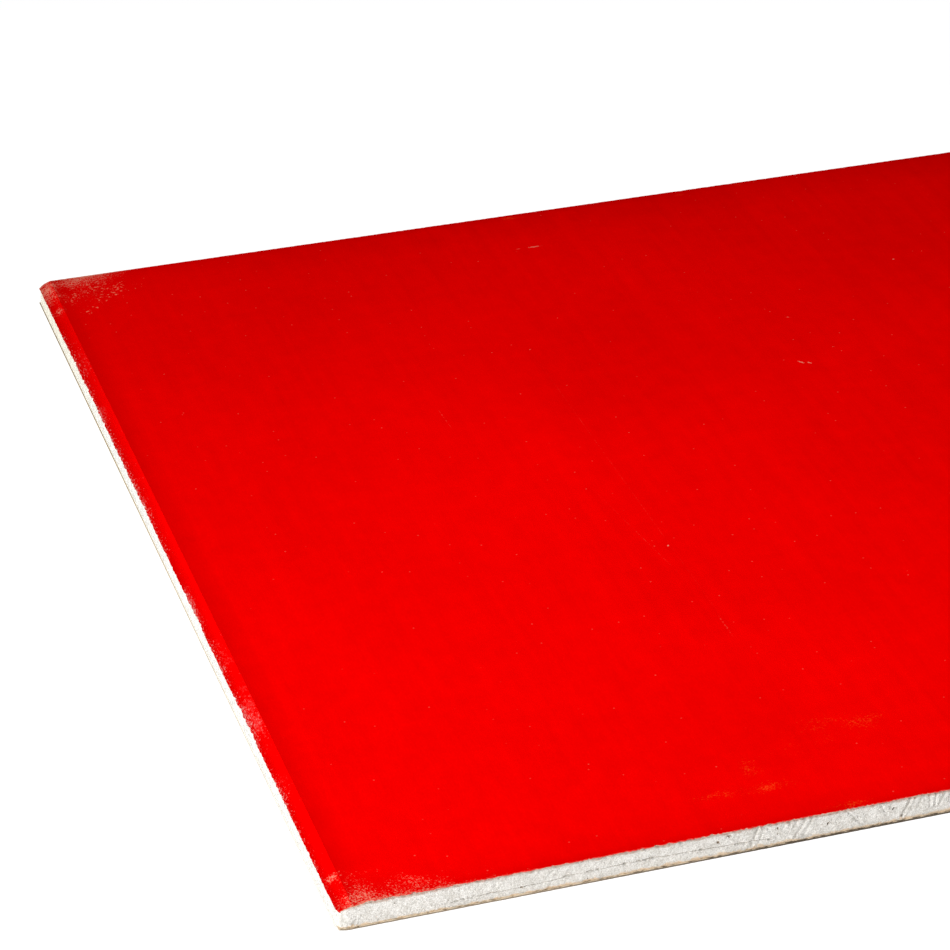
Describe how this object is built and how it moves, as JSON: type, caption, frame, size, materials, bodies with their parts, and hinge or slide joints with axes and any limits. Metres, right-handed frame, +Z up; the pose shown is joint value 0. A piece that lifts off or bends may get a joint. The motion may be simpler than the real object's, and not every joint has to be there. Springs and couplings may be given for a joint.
{
  "type": "gypsum ceiling tile",
  "caption": "Flat rectangular gypsum ceiling tile with a red face paper that turns down over rounded formed edges, a bare white core at the cut edges and a brown back paper.",
  "frame": {"origin": "middle of the underside, on the back paper", "axes": "+X along the length, across the two formed edges; +Y along the width, across the two cut edges; +Z up, towards the red face"},
  "size_m": [1.2, 0.6, 0.0125],
  "materials": {
    "gypsum": "matt cast gypsum, sawn at the cut edges",
    "red_liner_paper": "matt dyed liner paper",
    "brown_liner_paper": "matt unbleached liner paper"
  },
  "bodies": {
    "root": {"gypsum_core": "gypsum", "face_paper": "red_liner_paper", "back_paper": "brown_liner_paper"}
  },
  "joints": []
}
